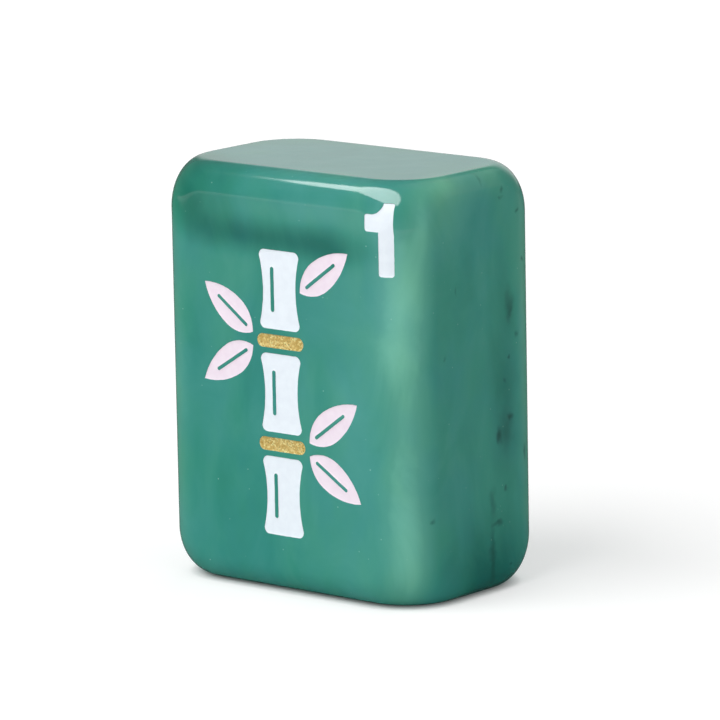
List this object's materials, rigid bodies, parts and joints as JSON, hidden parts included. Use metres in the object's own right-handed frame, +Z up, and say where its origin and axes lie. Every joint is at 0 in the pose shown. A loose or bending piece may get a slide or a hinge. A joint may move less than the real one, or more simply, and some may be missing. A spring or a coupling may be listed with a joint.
{
  "type": "mahjong tile",
  "caption": "Upright game tile: a polished marbled acrylic block with soft edges, its front engraved with a numeral and a bamboo motif, each pocket filled with paint.",
  "frame": {"origin": "middle of the base, the short end that the tile stands on", "axes": "+Z up the tile's height, +X to the right across its width as the front is seen, -Y out of the engraved front face"},
  "size_m": [0.0232, 0.0152, 0.03],
  "materials": {
    "acrylic": "polished, marbled jade green acrylic with fine glitter",
    "white_paint": "smooth white enamel",
    "pink_paint": "smooth pale pink enamel",
    "gold_paint": "gold enamel with metal flakes"
  },
  "bodies": {
    "root": {"tile_block": "acrylic", "numeral_paint": "white_paint", "lower_stalk_paint": "white_paint", "middle_stalk_paint": "white_paint", "upper_stalk_paint": "white_paint", "lower_ring_paint": "gold_paint", "upper_ring_paint": "gold_paint", "left_rising_leaf_paint": "pink_paint", "left_drooping_leaf_paint": "pink_paint", "right_rising_leaf_paint": "pink_paint", "right_drooping_leaf_paint": "pink_paint", "top_leaf_paint": "pink_paint"}
  },
  "joints": []
}
